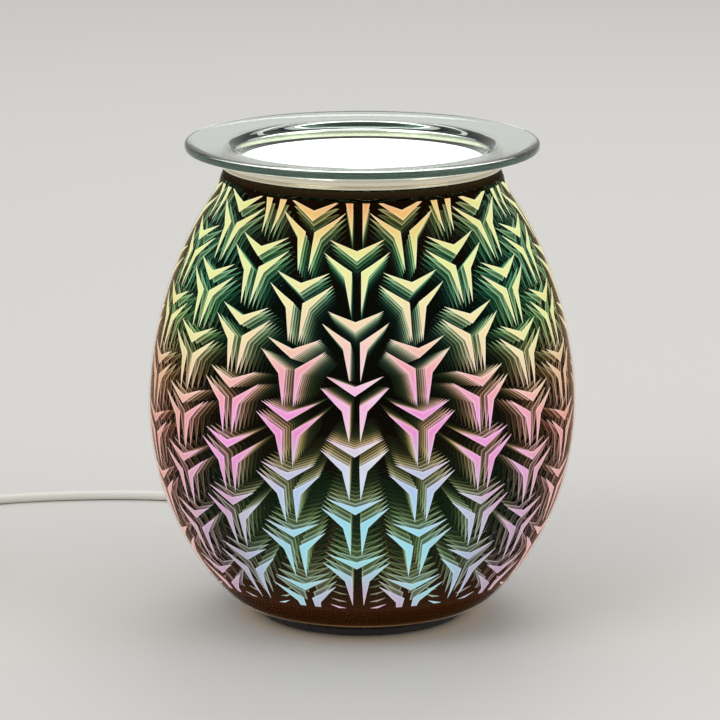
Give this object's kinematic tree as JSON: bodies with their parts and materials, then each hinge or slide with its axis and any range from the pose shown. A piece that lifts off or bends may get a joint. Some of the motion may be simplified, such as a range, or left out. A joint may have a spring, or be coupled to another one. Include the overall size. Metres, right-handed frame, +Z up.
{
  "type": "electric oil burner",
  "caption": "Egg-shaped mirrored glass oil burner with a lift-off clear dish, a twist-lock reflector lamp, a low black base and a flat lead with a thumbwheel dimmer and plug.",
  "frame": {"origin": "on the table, under the middle of the base", "axes": "+Z up along the shade's axis; the lead leaves the base towards +Y and lies off to -X"},
  "size_m": [0.3351, 0.2218, 0.1643],
  "materials": {
    "mirror_glass": "dark mirrored glass with a lit pattern",
    "clear_glass": "clear pressed glass, green in its edge, frosted under its floor",
    "lamp_glass": "clear lamp glass",
    "polished_ring": "polished",
    "reflector": "bright",
    "steel": "zinc plated",
    "brass": "bright",
    "black_plastic": "satin moulding",
    "black_rubber": "matt",
    "seal": "matt",
    "white_plastic": "satin moulding",
    "white_flex": "soft sheath",
    "ceramic": "matt white ceramic",
    "board": "lacquered"
  },
  "bodies": {
    "burner": {"glass_shade": "mirror_glass", "neck_collar": "polished_ring", "collar_gasket": "seal", "shade_gasket": "seal", "retaining_ring": "black_plastic", "base_pan": "black_plastic", "base_cover": "black_plastic", "foot_1": "black_rubber", "foot_2": "black_rubber", "foot_3": "black_rubber", "foot_4": "black_rubber", "cover_screw_1": "steel", "cover_screw_2": "steel", "cover_screw_3": "steel", "cord_bush": "black_rubber", "cord_clamp": "black_plastic", "clamp_screw_1": "steel", "clamp_screw_2": "steel", "inner_cord": "white_flex", "terminal_block": "white_plastic", "holder_lead_1": "white_flex", "holder_lead_2": "white_flex", "lamp_bracket": "steel", "bracket_screw_1": "steel", "bracket_screw_2": "steel", "lamp_holder": "ceramic", "holder_screw_1": "steel", "holder_screw_2": "steel", "dimmer_inlet_relief": "white_plastic", "dimmer_outlet_relief": "white_plastic", "dimmer_lower_shell": "white_plastic", "dimmer_upper_shell": "white_plastic", "dimmer_board": "board", "dimmer_screw_1": "steel", "dimmer_screw_2": "steel", "cord_to_dimmer": "white_flex", "cord_to_coil": "white_flex", "cord_coil": "white_flex", "cord_to_plug": "white_flex", "plug_relief": "white_plastic", "plug_body": "white_plastic", "plug_pin_earth": "brass", "plug_pin_live": "brass", "plug_pin_neutral": "brass"},
    "dish": {"oil_dish": "clear_glass"},
    "lamp": {"lamp_base": "ceramic", "lamp_pin_1": "brass", "lamp_pin_2": "brass", "lamp_reflector": "reflector", "lamp_front_glass": "lamp_glass", "lamp_capsule": "lamp_glass"},
    "thumbwheel": {"dimmer_wheel": "black_plastic"},
    "fuse_drawer": {"fuse_carrier": "white_plastic", "plug_fuse": "ceramic"}
  },
  "joints": [
    {"name": "dish_lift", "type": "slide", "parent": "burner", "child": "dish", "axis": [0, 0, 1], "range_m": [0, 0.06]},
    {"name": "lamp_turn", "type": "hinge", "parent": "burner", "child": "lamp", "pos_m": [0, 0, 0.0777], "axis": [0, 0, 1], "range_deg": [0, 30]},
    {"name": "dimmer_turn", "type": "hinge", "parent": "burner", "child": "thumbwheel", "pos_m": [-0.16, 0.048, 0.0088], "axis": [0, 0, 1], "range_deg": [0, 270]},
    {"name": "fuse_pull", "type": "slide", "parent": "burner", "child": "fuse_drawer", "axis": [0, 0, 1], "range_m": [0, 0.014]}
  ]
}
